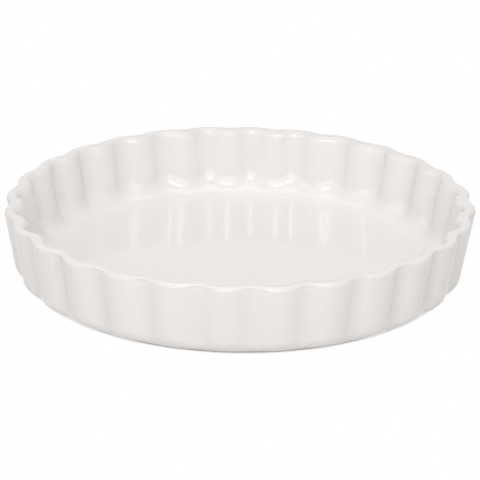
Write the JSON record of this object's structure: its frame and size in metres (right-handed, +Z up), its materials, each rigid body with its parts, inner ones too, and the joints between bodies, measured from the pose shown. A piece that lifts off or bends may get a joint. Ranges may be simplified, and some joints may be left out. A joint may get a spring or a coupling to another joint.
{
  "type": "fluted quiche dish",
  "caption": "Round shallow porcelain baking dish with a straight fluted wall, a rounded lip, a flat glazed floor and a bare foot ring to stand on.",
  "frame": {"origin": "centre of the circle on which the foot ring stands, in the plane of the surface below it", "axes": "+Z up along the dish's axis, +X out through the middle of one of its flutes"},
  "size_m": [0.28, 0.28, 0.044],
  "materials": {
    "glaze": "clear gloss glaze on warm white porcelain",
    "bare_clay": "bare, fine matt porcelain"
  },
  "bodies": {
    "root": {"porcelain_body": "bare_clay", "glaze_coat": "glaze", "glaze_underside": "glaze"}
  },
  "joints": []
}
